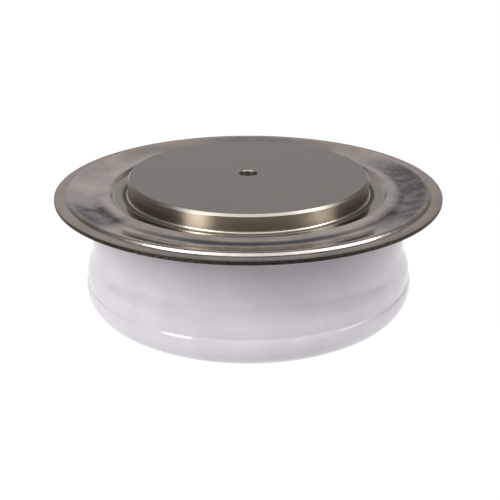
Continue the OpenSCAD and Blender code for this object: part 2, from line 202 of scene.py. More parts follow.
def new_object(name, points, faces):
    """An object in the scene, from points in metres and faces."""
    mesh = bpy.data.meshes.new(name)
    mesh.from_pydata(points.tolist(), [], faces)
    made = bpy.data.objects.new(name, mesh)
    bpy.context.scene.collection.objects.link(made)
    return made


def mesh_piece(name, points, faces, finish, node):
    """A piece from points in millimetres and faces, smooth up to a sharp angle. It rides on the
    body root and stands for a node."""
    piece = new_object(name, points * MM, faces)
    mesh = piece.data
    mesh.polygons.foreach_set("use_smooth", np.ones(len(mesh.polygons), bool))
    mesh.set_sharp_from_angle(angle=math.radians(SHARP_DEG))
    mesh.materials.append(finish)
    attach(piece, "root")
    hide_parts(node)
    return piece


def turned(name, outline, finish, node, closed=True, bend=None):
    """A turned piece. bend changes its points after the sweep, for a surface that isn't quite round."""
    grid, faces = turned_grid(outline, SIDES, closed)
    if bend:
        grid = bend(grid)
    return mesh_piece(name, grid, faces, finish, node)


def turned_about_lead(name, outline, finish, node, closed=True):
    """A piece turned about the gate lead, from an outline of distances from the lead and y."""
    grid, faces = turned_grid(outline, SMALL_SIDES, closed)
    return mesh_piece(name, laid_on_lead(grid), faces, finish, node)


def cut(piece, cutter):
    """Takes a cutter's solid out of a piece, and removes the cutter."""
    modifier = piece.modifiers.new("cut", "BOOLEAN")
    modifier.object = cutter
    modifier.solver = "EXACT"
    depsgraph = bpy.context.evaluated_depsgraph_get()
    mesh = bpy.data.meshes.new_from_object(piece.evaluated_get(depsgraph))
    piece.modifiers.clear()
    piece.data = mesh
    mesh.set_sharp_from_angle(angle=math.radians(SHARP_DEG))
    bpy.data.objects.remove(cutter)


def cutter_piece(points, faces):
    """A loose solid that only cuts, until it is removed."""
    piece = new_object("cutter", points * MM, faces)
    return piece


def box_cutter(lowest, highest):
    """A box between two corners."""
    corner = np.array([[i >> 2 & 1, i >> 1 & 1, i & 1] for i in range(8)], float)
    points = lowest + corner * (np.array(highest) - lowest)
    faces = [(0, 1, 3, 2), (4, 6, 7, 5), (0, 4, 5, 1), (2, 3, 7, 6), (0, 2, 6, 4), (1, 5, 7, 3)]
    return cutter_piece(points, faces)


def bar_cutter(start, end, radius, on_lead=False):
    """A round bar between two levels of the axis, or between two places along the gate lead."""
    outline = np.array([[0, start], [radius, start], [radius, end], [0, end]])
    grid, faces = turned_grid(outline, SMALL_SIDES, False)
    return cutter_piece(laid_on_lead(grid) if on_lead else grid, faces)


def paint(piece, finish, where):
    """Gives another material to the faces whose centres, in millimetres, pass a test."""
    mesh = piece.data
    centres = np.empty(len(mesh.polygons) * 3)
    mesh.polygons.foreach_get("center", centres)
    radius = np.hypot(centres[0::3], centres[1::3]) / MM
    chosen = where(radius, centres[2::3] / MM)
    index = np.empty(len(mesh.polygons), np.int32)
    mesh.polygons.foreach_get("material_index", index)
    mesh.materials.append(finish)
    index[chosen] = len(mesh.materials) - 1
    mesh.polygons.foreach_set("material_index", index)


# Materials

# Levels between which most of a pattern lies
PATTERN_LOW, PATTERN_HIGH = 0.3, 0.7


def linear(hex_colour):
    """An sRGB hex colour as linear values with an alpha of 1."""
    parts = [int(hex_colour[i:i + 2], 16) / 255 for i in (1, 3, 5)]
    return [p / 12.92 if p <= 0.04045 else ((p + 0.055) / 1.055) ** 2.4 for p in parts] + [1]


def add(tree, kind, inputs=None, out=0, **settings):
    """Adds a node and gives the output named or numbered out. settings are the node's properties,
    and inputs maps a socket to a value or to another node's output."""
    made = tree.nodes.new(kind)
    for key, value in settings.items():
        setattr(made, key, value)
    for key, value in (inputs or {}).items():
        if isinstance(value, bpy.types.NodeSocket):
            tree.links.new(value, made.inputs[key])
        else:
            made.inputs[key].default_value = value
    return made.outputs[out]


def material(name, colour, roughness, metallic=0.0, **sockets):
    """A material with its shader, and the tree to build its pattern in."""
    made = bpy.data.materials.new(name)
    made.use_nodes = True
    tree = made.node_tree
    shader = tree.nodes["Principled BSDF"]
    shader.inputs["Base Color"].default_value = linear(colour)
    shader.inputs["Roughness"].default_value = roughness
    shader.inputs["Metallic"].default_value = metallic
    for key, value in sockets.items():
        shader.inputs[key.replace("_", " ")].default_value = value
    made.diffuse_color = linear(colour)
    return made, tree, shader


def place(tree):
    """Where a point is on the object, in millimetres."""
    point = add(tree, "ShaderNodeTexCoord", out="Object")
    return add(tree, "ShaderNodeVectorMath", {0: point, "Scale": 1 / MM}, operation="SCALE")


def from_axis(tree):
    """The level vector from the axis to a point, in millimetres."""
    return add(tree, "ShaderNodeVectorMath", {0: place(tree), 1: (1, 1, 0)}, operation="MULTIPLY")


def clouds(tree, size, detail=2.0, rough=0.5):
    """A cloudy pattern from 0 to 1 all through a piece, its clouds about size mm across. detail is
    how many finer layers it has, and rough is how strong they are."""
    at = add(tree, "ShaderNodeVectorMath", {0: place(tree), "Scale": 1 / size}, operation="SCALE")
    return add(tree, "ShaderNodeTexNoise", {
        "Vector": at, "Scale": 1.0, "Detail": detail, "Roughness": rough})


def ring_marks(tree, around, across, up=None, detail=2.0, rough=0.5):
    """The same pattern drawn out round a turned surface: its marks are around mm long at the pole's
    wall, across mm wide along the radius and, where it is given, up mm high. It has no seam,
    because the direction from the axis is a vector."""
    radius = add(tree, "ShaderNodeVectorMath", {0: from_axis(tree)}, out="Value", operation="LENGTH")
    heading = add(tree, "ShaderNodeVectorMath", {0: from_axis(tree)}, operation="NORMALIZE")
    turned_by = add(tree, "ShaderNodeVectorMath", {0: heading, "Scale": POLE_R / around},
                    operation="SCALE")
    level = add(tree, "ShaderNodeMath", {0: radius, 1: 1 / across}, operation="MULTIPLY")
    if up:
        height = add(tree, "ShaderNodeSeparateXYZ", {0: place(tree)}, out="Z")
        level = add(tree, "ShaderNodeMath", {0: height, 1: 1 / up, 2: level}, operation="MULTIPLY_ADD")
    depth = add(tree, "ShaderNodeCombineXYZ", {"Z": level})
    at = add(tree, "ShaderNodeVectorMath", {0: turned_by, 1: depth}, operation="ADD")
    return add(tree, "ShaderNodeTexNoise", {
        "Vector": at, "Scale": 1.0, "Detail": detail, "Roughness": rough})


def ring_zone(tree, start_r, full_r, most=1.0):
    """How far a place is inside a ring-shaped zone: 0 at the radius start_r, and most at full_r."""
    radius = add(tree, "ShaderNodeVectorMath", {0: from_axis(tree)}, out="Value", operation="LENGTH")
    return add(tree, "ShaderNodeMapRange", {
        "Value": radius, "From Min": start_r, "From Max": full_r, "To Min": 0.0, "To Max": most})


def tinted(tree, shader, colour, *layers):
    """Base colour in layers: each is a share from 0 to 1, and the colour that covers by that share
    what lies below."""
    tint = linear(colour)
    for share, cover in layers:
        tint = add(tree, "ShaderNodeMix", {0: share, 6: tint, 7: linear(cover)}, out=2,
                   data_type="RGBA")
    tree.links.new(tint, shader.inputs["Base Color"])


def mottled(tree, shader, pattern, first, second, start=0.35, full=0.65):
    """Base colour that goes from one colour to another as a pattern goes from start to full."""
    share = add(tree, "ShaderNodeMapRange", {
        "Value": pattern, "From Min": start, "From Max": full, "To Min": 0.0, "To Max": 1.0})
    tinted(tree, shader, first, (share, second))


def uneven_shine(tree, shader, pattern, smoothest, roughest):
    """Roughness that follows a pattern between two values."""
    roughness = add(tree, "ShaderNodeMapRange", {
        "Value": pattern, "From Min": PATTERN_LOW, "From Max": PATTERN_HIGH,
        "To Min": smoothest, "To Max": roughest})
    tree.links.new(roughness, shader.inputs["Roughness"])


def relief(tree, shader, *layers):
    """Fine relief in layers: each is a pattern, and the depth in millimetres that it has."""
    over = {}
    for pattern, depth in layers:
        normal = add(tree, "ShaderNodeBump", {
            "Height": pattern, "Distance": depth * MM, "Strength": 1.0, **over})
        over = {"Normal": normal}
    tree.links.new(normal, shader.inputs["Normal"])


# Tool rings, grinding marks, wire lines and grain are finer on the real pieces than here, where
# they are drawn as coarse as they need to show.


def lapped_nickel():
    """Nickel plate on a lapped copper face: an even satin with a faint cloudiness."""
    made, tree, shader = material("lapped_nickel_plate", "#ACA89F", 0.4, metallic=1.0)
    mottled(tree, shader, clouds(tree, size=14.0, detail=3.0, rough=0.6), "#ADA79D", "#AAA8A0")
    grain = clouds(tree, size=0.22, detail=3.0, rough=0.6)
    uneven_shine(tree, shader, grain, smoothest=0.38, roughest=0.46)
    rings = ring_marks(tree, around=40.0, across=0.25, detail=1.0)
    relief(tree, shader, (rings, 0.0016), (grain, 0.004))
    return made


def turned_nickel():
    """Nickel plate on a turned copper wall. Fine tool rings round it spread its reflections up
    and down, so its shine is drawn out along Z."""
    made, tree, shader = material(
        "turned_nickel_plate", "#A79E90", 0.32, metallic=1.0, Anisotropic=0.95)
    axis = add(tree, "ShaderNodeCombineXYZ", {"Z": 1.0})
    tree.links.new(axis, shader.inputs["Tangent"])
    rings = ring_marks(tree, around=60.0, across=0.2, up=0.2)
    uneven_shine(tree, shader, rings, smoothest=0.29, roughest=0.35)
    relief(tree, shader, (rings, 0.0015))
    return made


def nickel_with_painted_highlight():
    """Nickel plate on the chamfers and in the centring hole of the cathode pole. They are cut last
    with a fine tool, so they are a little smoother than the wall; their lighter colour is painted
    highlight."""
    made, tree, shader = material("cut_nickel_plate_painted_highlight", "#B4AEA3", 0.3, metallic=1.0)
    rings = ring_marks(tree, around=60.0, across=0.15, up=0.15)
    uneven_shine(tree, shader, rings, smoothest=0.26, roughest=0.34)
    relief(tree, shader, (rings, 0.001))
    return made


def painted_dark_reflection_share(tree):
    """How much painted dark reflection the lid's plate has, from 0 to 1: in the valley only, all
    along its right side, less at the front and in one place at the left, in mottled blots with a fine
    speckle."""
    heading = add(tree, "ShaderNodeVectorMath", {0: from_axis(tree)}, operation="NORMALIZE")
    painted_dark_reflection = 0.0
    # Each side where the painted dark reflection lies, the cosines from it at which it starts and
    # is full, and how strong it is
    for side, start, full, most in (
            ((0.99, -0.12, 0), 0.72, 0.92, 1.0),
            ((0.1, -0.99, 0), 0.88, 0.98, 0.22),
            ((-0.86, -0.51, 0), 0.968, 0.992, 1.0)):
        cosine = add(tree, "ShaderNodeVectorMath", {0: heading, 1: side}, out="Value",
                     operation="DOT_PRODUCT")
        share = add(tree, "ShaderNodeMapRange", {
            "Value": cosine, "From Min": start, "From Max": full, "To Min": 0.0, "To Max": most})
        painted_dark_reflection = add(tree, "ShaderNodeMath", {0: painted_dark_reflection, 1: share}, operation="MAXIMUM")
    shares = [ring_zone(tree, start_r=28.2, full_r=29.8), ring_zone(tree, start_r=35.4, full_r=34.2)]
    blots = clouds(tree, size=3.2, detail=4.0, rough=0.65)
    speckle = clouds(tree, size=0.55, detail=2.0, rough=0.6)
    # Each pattern, its levels where the painted dark reflection is thinnest and full, and how much
    # the thinnest keeps
    for pattern, start, full, least in ((blots, 0.36, 0.56, 0.55), (speckle, 0.35, 0.6, 0.78)):
        shares.append(add(tree, "ShaderNodeMapRange", {
            "Value": pattern, "From Min": start, "From Max": full, "To Min": least, "To Max": 1.0}))
    for share in shares:
        painted_dark_reflection = add(tree, "ShaderNodeMath", {0: painted_dark_reflection, 1: share}, operation="MULTIPLY")
    return painted_dark_reflection


def pressed_nickel_sheet():
    """Nickel-plated sheet pressed in a die: shiny, with faint drawn streaks across the ring, die
    rings round it, cloudy patches where the plate stayed dull, a painted dark reflection in the
    valley, a satin ridge and rim, painted shade in the moat, and painted shade, dark and dull, at
    the pole's foot."""
    made, tree, shader = material("pressed_nickel_plated_sheet", "#CFC6BD", 0.17, metallic=1.0)
    # Painted dark reflection in the valley, darkest along the right side
    painted_dark_reflection = painted_dark_reflection_share(tree)
    patch = clouds(tree, size=7.0, detail=5.0, rough=0.6)
    dull_plate = add(tree, "ShaderNodeMapRange", {
        "Value": patch, "From Min": 0.4, "From Max": 0.62, "To Min": 0.0, "To Max": 1.0})
    land = ring_zone(tree, start_r=35.1, full_r=35.6, most=0.5)
    # Painted shade in the moat: its floor is darker from the pole out to 25.8 mm, fading out by 26.8 mm
    moat = ring_zone(tree, start_r=26.8, full_r=25.8)
    # Painted shade at the pole's foot: a dark, dull ring that isn't metal, in the corner between the
    # moat and the braze fillet
    scale = ring_zone(tree, start_r=24.9, full_r=24.4, most=0.85)
    # Base colour in layers: cloudy dull plate, the weld land, painted shade in the moat, painted shade
    # at the pole's foot and the painted dark reflection in the valley
    tinted(tree, shader, "#DCD2C8", (dull_plate, "#C0B8B1"), (land, "#A89F96"), (moat, "#A8A095"),
           (scale, "#1D1A17"), (painted_dark_reflection, "#45454C"))
    streak = ring_marks(tree, around=1.1, across=7.0, detail=3.0, rough=0.6)
    ring = ring_marks(tree, around=30.0, across=0.5)
    satin = ring_zone(tree, start_r=34.4, full_r=34.9, most=0.12)
    foot_shade_dullness = 0.45
    dull = add(tree, "ShaderNodeMath", {0: streak, 1: painted_dark_reflection}, operation="ADD")
    dull = add(tree, "ShaderNodeMapRange", {
        "Value": dull, "From Min": 0.3, "From Max": 1.4, "To Min": 0.11, "To Max": 0.3})
    dull = add(tree, "ShaderNodeMath", {0: dull, 1: satin}, operation="ADD")
    # The painted shade at the pole's foot is rougher too
    dull = add(tree, "ShaderNodeMath", {0: scale, 1: foot_shade_dullness, 2: dull},
               operation="MULTIPLY_ADD")
    tree.links.new(dull, shader.inputs["Roughness"])
    # No metal in the painted shade at the pole's foot
    metal_outside_foot_shade = add(tree, "ShaderNodeMath", {0: 1.0, 1: scale}, operation="SUBTRACT")
    tree.links.new(metal_outside_foot_shade, shader.inputs["Metallic"])
    relief(tree, shader, (streak, 0.0015), (ring, 0.0008), (patch, 0.01))
    return made


def fired_nickel_sheet():
    """The weld ring's sheet, dulled and browned in the brazing furnace: it mirrors little."""
    made, tree, shader = material("fired_nickel_plated_sheet", "#57504A", 0.5, metallic=1.0)
    bloom = ring_marks(tree, around=3.0, across=1.5, detail=3.0, rough=0.6)
    mottled(tree, shader, bloom, "#5E5750", "#443E39")
    relief(tree, shader, (bloom, 0.006))
    return made


def weld_seam():
    """The rim's edge, where both sheets are welded together: a dull, dark brown bead."""
    made, tree, shader = material("welded_nickel_edge", "#453D36", 0.4, metallic=1.0)
    bead = clouds(tree, size=0.5, detail=3.0, rough=0.6)
    mottled(tree, shader, bead, "#4C443B", "#2F2A26")
    relief(tree, shader, (bead, 0.03))
    return made


def glazed_alumina():
    """Alumina ceramic under a clear glaze: white with a hint of lilac, and a wet gloss that the
    slightly wavy glaze breaks up."""
    made, tree, shader = material("glazed_alumina", "#E4DFE6", 0.09, IOR=1.52)
    mottled(tree, shader, clouds(tree, size=6.0, detail=3.0), "#E7E1E9", "#E0DAE2")
    uneven_shine(tree, shader, clouds(tree, size=0.6), smoothest=0.07, roughest=0.11)
    wave = ring_marks(tree, around=2.6, across=5.0, up=2.2, rough=0.4)
    relief(tree, shader, (wave, 0.03))
    return made


def bare_alumina():
    """Ground alumina without glaze, on the faces that are brazed: matt and a little cream."""
    made, tree, shader = material("ground_alumina", "#E9E4DB", 0.7, IOR=1.7)
    grain = clouds(tree, size=0.15, detail=3.0, rough=0.6)
    mottled(tree, shader, grain, "#EBE6DE", "#DED8CE", start=PATTERN_LOW, full=PATTERN_HIGH)
    relief(tree, shader, (grain, 0.01))
    return made


def silver_braze():
    """Silver-copper braze that flowed into a corner: smooth, bright and faintly yellow."""
    made, tree, shader = material("silver_braze", "#DAD4C6", 0.2, metallic=1.0)
    flow = ring_marks(tree, around=2.0, across=0.5, up=0.5)
    uneven_shine(tree, shader, flow, smoothest=0.14, roughest=0.28)
    relief(tree, shader, (flow, 0.01))
    return made


def tinned_pin():
    """Drawn wire with a dipped tin coat: soft shine, slightly uneven."""
    made, tree, shader = material("tinned_wire", "#CFCDC6", 0.3, metallic=1.0)
    coat = clouds(tree, size=0.7, detail=3.0)
    uneven_shine(tree, shader, coat, smoothest=0.22, roughest=0.38)
    relief(tree, shader, (coat, 0.015))
    return made


def rolled_silver():
    """Soft silver foil as rolled: pale, with fine lines along the rolling."""
    made, tree, shader = material("rolled_silver", "#F0EBE2", 0.3, metallic=1.0)
    line_length, lines_per_mm = 10.0, 6.0
    at = add(tree, "ShaderNodeVectorMath", {0: place(tree), 1: (1 / line_length, lines_per_mm, 1.0)},
             operation="MULTIPLY")
    line = add(tree, "ShaderNodeTexNoise", {
        "Vector": at, "Scale": 1.0, "Detail": 2.0, "Roughness": 0.5})
    uneven_shine(tree, shader, line, smoothest=0.24, roughest=0.38)
    relief(tree, shader, (line, 0.002))
    return made


def ground_molybdenum():
    """Molybdenum disc, ground flat: grey metal with turned grinding marks."""
    made, tree, shader = material("ground_molybdenum", "#9A9B9C", 0.36, metallic=1.0)
    mark = ring_marks(tree, around=20.0, across=0.12)
    uneven_shine(tree, shader, mark, smoothest=0.3, roughest=0.44)
    relief(tree, shader, (mark, 0.003))
    return made


def diffused_silicon():
    """Silicon wafer with diffused layers: dark, blue-grey and nearly a mirror."""
    made, tree, shader = material("diffused_silicon", "#5B616E", 0.12, metallic=1.0)
    uneven_shine(tree, shader, clouds(tree, size=5.0), smoothest=0.08, roughest=0.18)
    return made


def cast_silicone():
    """Silicone rubber cast in place: milky, soft and half glossy, with light in its edges."""
    made, tree, shader = material(
        "cast_silicone_rubber", "#E6E2D8", 0.35, IOR=1.41, Subsurface_Weight=0.3,
        Subsurface_Radius=(1.0 * MM, 0.9 * MM, 0.8 * MM))
    skin = clouds(tree, size=1.5)
    uneven_shine(tree, shader, skin, smoothest=0.3, roughest=0.42)
    relief(tree, shader, (skin, 0.01))
    return made


def turned_fluoropolymer():
    """Fluoropolymer turned from bar: waxy white with faint tool rings."""
    made, tree, shader = material("turned_fluoropolymer", "#F1F1EC", 0.45, IOR=1.35)
    ring = ring_marks(tree, around=30.0, across=0.2, up=0.2)
    uneven_shine(tree, shader, ring, smoothest=0.4, roughest=0.52)
    relief(tree, shader, (ring, 0.004))
    return made


def drawn_spring_wire():
    """Hard-drawn stainless wire: grey, with a shine that fine die marks leave uneven."""
    made, tree, shader = material("drawn_spring_wire", "#B7B6B2", 0.24, metallic=1.0)
    uneven_shine(tree, shader, clouds(tree, size=0.12), smoothest=0.18, roughest=0.3)
    return made


# Pieces that stand for the outer solids


def cathode_pole(face, wall, edge_finish_painted_highlight):
    """The cathode pole: a turned disc with a shoulder below its flange, a centring hole in its
    face, and the gate's bore and slot in its lower side."""
    hole = CENTRING_R
    hole_end = TOP_Z - CENTRING_DEPTH - CENTRING_POINT
    outline = profile([
        (0, CATHODE_Z, 0),
        (SHOULDER_R - FACE_CHAMFER, CATHODE_Z, 0),
        (SHOULDER_R, CATHODE_Z + FACE_CHAMFER, 0),
        (SHOULDER_R, LID_SEAT_Z, 0),
        (POLE_R, LID_SEAT_Z, 0),
        (POLE_R, TOP_Z - FACE_CHAMFER, 2 * EDGE_BREAK),
        (POLE_R - FACE_CHAMFER, TOP_Z, 2 * EDGE_BREAK),
        (hole + CENTRING_CHAMFER, TOP_Z, EDGE_BREAK / 2),
        (hole, TOP_Z - CENTRING_CHAMFER, EDGE_BREAK / 2),
        (hole, TOP_Z - CENTRING_DEPTH, EDGE_BREAK),
        (0, hole_end, 0)], closed=False)
    piece = turned("cathode_pole_finish", outline, wall, "cathode_pole",
                   closed=False)
    cut(piece, box_cutter((-SLOT_W / 2, 0, CATHODE_Z - CUT_PAST),
                          (SLOT_W / 2, SHOULDER_R + CUT_PAST, CATHODE_Z + SLOT_W)))
    cut(piece, bar_cutter(CATHODE_Z - CUT_PAST, GATE_TOP_Z, GATE_BORE_R))
    edge = POLE_R - FACE_CHAMFER
    top = TOP_Z - ON_LEVEL
    paint(piece, face, lambda r, z: (z > top) & (r < edge) & (r > hole + CENTRING_CHAMFER))
    # The chamfer and the centring hole get the nickel whose lighter colour is painted highlight
    paint(piece, edge_finish_painted_highlight, lambda r, z: (z > TOP_Z - FACE_CHAMFER) & (z < top) & (r > edge))
    paint(piece, edge_finish_painted_highlight, lambda r, z: (z > hole_end) & (r < hole + CENTRING_CHAMFER))


def anode_pole(face, wall, edge_finish_painted_highlight):
    """The anode pole: a turned disc with a boss below its flange and a centring hole below."""
    hole = CENTRING_R
    outline = profile([
        (0, CENTRING_DEPTH + CENTRING_POINT, 0),
        (hole, CENTRING_DEPTH, EDGE_BREAK),
        (hole, CENTRING_CHAMFER, EDGE_BREAK / 2),
        (hole + CENTRING_CHAMFER, 0, EDGE_BREAK / 2),
        (POLE_R - FACE_CHAMFER, 0, 2 * EDGE_BREAK),
        (POLE_R, FACE_CHAMFER, 2 * EDGE_BREAK),
        (POLE_R, ANODE_BOSS_H, 0),
        (SHOULDER_R, ANODE_BOSS_H, 0),
        (SHOULDER_R, RING_SEAT_Z, EDGE_BREAK),
        (RING_SEAT_R, RING_SEAT_Z, 0),
        (RING_SEAT_R, ANODE_TOP_Z, EDGE_BREAK),
        (0, ANODE_TOP_Z, 0)], closed=False)
    piece = turned("anode_pole_finish", outline, wall, "anode_pole",
                   closed=False)
    edge = POLE_R - FACE_CHAMFER
    paint(piece, face, lambda r, z: (z < ON_LEVEL) & (r < edge) & (r > hole + CENTRING_CHAMFER))
    # The chamfer gets the nickel whose lighter colour is painted highlight
    paint(piece, edge_finish_painted_highlight, lambda r, z: (z < FACE_CHAMFER) & (z > ON_LEVEL) & (r > edge))


def sheet_section(corners):
    """Closed section of a bent sheet. Its upper side's levels are given at corners (r, z, rounding).
    The middle runs through them half a thickness lower, each side is the middle moved half the
    thickness along its normal, and the ends bulge out a little along a half ellipse."""
    bulge = 0.08
    middle = profile([(r, z - SHEET_T / 2, rounding) for r, z, rounding in corners], closed=False)
    step = np.gradient(middle, axis=0)
    step /= np.linalg.norm(step, axis=1)[:, None]
    normal = np.stack([step[:, 1], -step[:, 0]], 1)
    lower = middle + normal * SHEET_T / 2
    upper = (middle - normal * SHEET_T / 2)[::-1]
    turn = np.radians(np.linspace(-90, 90, SHEET_END_POINTS))
    ends = []
    for first, second, inside in ((lower[-1], upper[0], lower[-2]), (upper[-1], lower[0], upper[-2])):
        out = (first - inside) / np.linalg.norm(first - inside)
        half = (second - first) / 2
        centre = (first + second) / 2 - out * bulge
        ends.append(centre + np.outer(np.cos(turn), out) * bulge + np.outer(np.sin(turn), half))
    return np.concatenate([lower[:-1], ends[0], upper[1:-1], ends[1]])


def lid_flange(sheet, seam):
    """The lid: a formed sheet with a moat round the pole, a crest, a valley, a small ridge and the
    flat rim where it is welded."""
    moat_w, riser_w, crest_w, crest_h = 3.0, 0.8, 2.0, 0.15
    ridge_w, ridge_fall_w, gentle_r = 0.4, 0.45, 2.4
    fall_share, valley_share = 0.2, 0.14
    crest_start = POLE_R + moat_w + riser_w
    crest_end = crest_start + crest_w
    land_start = RIM_R - WELD_LAND_W
    ridge_end = land_start - ridge_fall_w
    ridge_start = ridge_end - ridge_w
    across = ridge_start - crest_end
    valley_start = crest_end + fall_share * across
    section = sheet_section([
        (POLE_R, MOAT_Z, 0),
        (crest_start - riser_w, MOAT_Z, BEND_R),
        (crest_start, RIM_Z + crest_h, BEND_R),
        (crest_end, RIM_Z, gentle_r),
        (valley_start, VALLEY_Z, gentle_r),
        (valley_start + valley_share * across, VALLEY_Z, gentle_r),
        (ridge_start, RIM_Z + RIDGE_H, BEND_R),
        (ridge_end, RIM_Z + RIDGE_H, BEND_R),
        (land_start, RIM_Z, BEND_R),
        (RIM_R, RIM_Z, 0)])
    piece = turned("lid_flange_finish", section, sheet, "lid_flange")
    paint(piece, seam, lambda r, z: r > RIM_R - SEAM_W)


def weld_ring(sheet, seam):
    """The weld ring: a formed sheet from the ceramic's upper edge out to the welded rim."""
    slope_w = 1.3
    land_start = RIM_R - WELD_LAND_W
    section = sheet_section([
        (BORE_R + BORE_CHAMFER, RING_FLAT_Z, 0),
        (land_start - slope_w, RING_FLAT_Z, BEND_R),
        (land_start, WELD_LAND_Z, BEND_R),
        (RIM_R, WELD_LAND_Z, 0)])
    piece = turned("weld_ring_finish", section, sheet, "weld_ring")
    paint(piece, seam, lambda r, z: r > RIM_R - SEAM_W)


def base_flange(sheet):
    """The base flange: a cupped sheet from the anode pole to the recess in the ceramic's foot."""
    wall_r = BORE_R - CUP_CLEAR - SHEET_T / 2
    section = sheet_section([
        (POLE_R, ANODE_BOSS_H, 0),
        (wall_r, ANODE_BOSS_H, BEND_R),
        (wall_r, SEAT_Z, BEND_R),
        (BASE_SEAT_R, SEAT_Z, 0)])
    turned("base_flange_finish", section, sheet, "base_flange")


def glaze_waves(grid):
    """The glaze's slow unevenness: the radius r grows by wave_h times the mean of sin(3 a + 0.4 z)
    and sin(7 a - 0.9 z + 1.3), with a the angle and z the height. It starts at start_r, is full 1 mm
    further out, and fades over bead_fade to nothing at the bead, so the piece stays in its box."""
    wave_h, start_r, bead_fade = 0.03, 29.5, 0.08
    angle = np.arctan2(grid[:, 1], grid[:, 0])
    radius = np.hypot(grid[:, 0], grid[:, 1])
    wave = (np.sin(3 * angle + 0.4 * grid[:, 2]) + np.sin(7 * angle - 0.9 * grid[:, 2] + 1.3)) / 2
    outside = np.clip(radius - start_r, 0, 1)
    inside_box = np.clip((BEAD_R - radius) / bead_fade, 0, 1)
    scale = 1 + wave_h * wave * outside * inside_box / np.maximum(radius, 1)
    return np.stack([grid[:, 0] * scale, grid[:, 1] * scale, grid[:, 2]], 1)


def ceramic_ring(glaze, ground):
    """The ceramic ring: its wall flares out along a half cosine to a groove, the bead below the
    groove is rounded under along a quarter ellipse, and a spot face and hole take the gate tube."""
    groove_h, bead_round_h, belt_start_h = 5.9, 4.3, 1.2
    flare_h, belt_h = 5.0, 1.0
    groove_depth, foot_w = 0.05, 0.6
    slope_h, bead_top_r, groove_r = 0.65, 1.4, 0.5
    foot_edge_r, top_edge_r = 0.15, 0.4
    ground_edge = 0.02
    groove_z = STAND_Z + groove_h
    belt_z = groove_z + belt_start_h / 2
    recess_r = BASE_SEAT_R + CUP_CLEAR
    round_w = BEAD_R - recess_r - foot_w
    turn = np.radians(np.linspace(0, 90, CURVE_POINTS))
    underside = np.stack([
        BEAD_R - round_w * (1 - np.sin(turn)),
        STAND_Z + bead_round_h * (1 - np.cos(turn))], 1)
    rise = np.linspace(0, 1, CURVE_POINTS)
    flare = np.stack([
        FLARE_R - FLARE_OUT * (1 - np.cos(np.pi * rise)) / 2,
        belt_z + belt_h + flare_h * rise], 1)
    foot = profile([
        (BORE_R + BORE_CHAMFER, SEAT_Z, 0),
        (recess_r, SEAT_Z, 0),
        (recess_r, STAND_Z, foot_edge_r),
        (BEAD_R - round_w, STAND_Z, 0)], closed=False)
    groove = profile([
        (BEAD_R, STAND_Z + bead_round_h, 0),
        (BEAD_R, groove_z - slope_h, bead_top_r),
        (FLARE_R - groove_depth, groove_z, groove_r),
        (FLARE_R, belt_z, belt_start_h),
        (FLARE_R, belt_z + belt_h, 0)], closed=False)
    top = profile([
        (WAIST_R, groove_z + belt_h + flare_h + belt_start_h, 0),
        (WAIST_R, CERAMIC_TOP_Z, top_edge_r),
        (BORE_R + BORE_CHAMFER, CERAMIC_TOP_Z, 0),
        (BORE_R, CERAMIC_TOP_Z - BORE_CHAMFER, 0),
        (BORE_R, SEAT_Z + BORE_CHAMFER, 0)], closed=False)
    outline = np.concatenate([foot[:-1], underside, groove[1:-1], flare, top])
    piece = turned("ceramic_ring_finish", outline, glaze, "ceramic_ring",
                   bend=glaze_waves)
    out_y = BEAD_R + CUT_PAST
    cut(piece, bar_cutter(BORE_R - CUT_PAST, out_y, TUBE_R, on_lead=True))
    cut(piece, bar_cutter(SPOT_FACE_Y, out_y, COLLAR_R + COLLAR_CLEAR, on_lead=True))
    paint(piece, ground, lambda r, z: (r < BORE_R + BORE_CHAMFER) | (z > CERAMIC_TOP_Z - ground_edge)
          | ((z < SEAT_Z + ground_edge) & (r < recess_r + ground_edge)))


def braze_fillet(name, node, z, rise, braze):
    """A braze fillet: a concave quarter circle between a pole and its flange."""
    leg = 0.35
    turn = np.radians(np.linspace(0, 90, FILLET_POINTS))
    centre = np.array([POLE_R + leg, z + rise * leg])
    arc = centre - leg * np.stack([np.cos(turn), rise * np.sin(turn)], 1)
    outline = np.concatenate([[[POLE_R, z]], arc])
    if rise > 0:
        outline = outline[::-1]
    turned(name, outline, braze, node)


def gate_feedthrough(sheet):
    """The gate tube with its collar, turned about the lead."""
    inner = TUBE_R - TUBE_WALL
    collar_back_r, collar_front_r, root_r, mouth_r, mouth_inner_r = 0.08, 0.12, 0.15, 0.1, 0.05
    outline = profile([
        (inner, TUBE_START_Y, 0),
        (TUBE_R, TUBE_START_Y, 0),
        (TUBE_R, SPOT_FACE_Y, 0),
        (COLLAR_R, SPOT_FACE_Y, collar_back_r),
        (COLLAR_R, SPOT_FACE_Y + COLLAR_T, collar_front_r),
        (TUBE_R, SPOT_FACE_Y + COLLAR_T, root_r),
        (TUBE_R, TUBE_END_Y, mouth_r),
        (inner, TUBE_END_Y, mouth_inner_r)])
    turned_about_lead("gate_feedthrough_finish", outline, sheet, "gate_feedthrough")


def gate_terminal(pin):
    """The gate terminal: a plug in the tube's end and a free pin with a chamfered tip."""
    start, end = low("gate_terminal", "y"), high("gate_terminal", "y")
    plug_r, pin_r = high("gate_terminal", "x"), 0.75
    chamfer, lead_r, grip = 0.3, 0.3, 1.2
    plug_back_r, plug_front_r, pin_root_r, pin_edge_r = 0.03, 0.05, 0.08, 0.1
    outline = profile([
        (0, start + grip, 0),
        (lead_r, start + grip, 0),
        (lead_r, start, 0),
        (plug_r, start, plug_back_r),
        (plug_r, TUBE_END_Y, plug_front_r),
        (pin_r, TUBE_END_Y, pin_root_r),
        (pin_r, end - chamfer, pin_edge_r),
        (pin_r - chamfer, end, pin_edge_r),
        (0, end, 0)], closed=False)
    turned_about_lead("gate_terminal_finish", outline, pin, "gate_terminal",
                      closed=False)


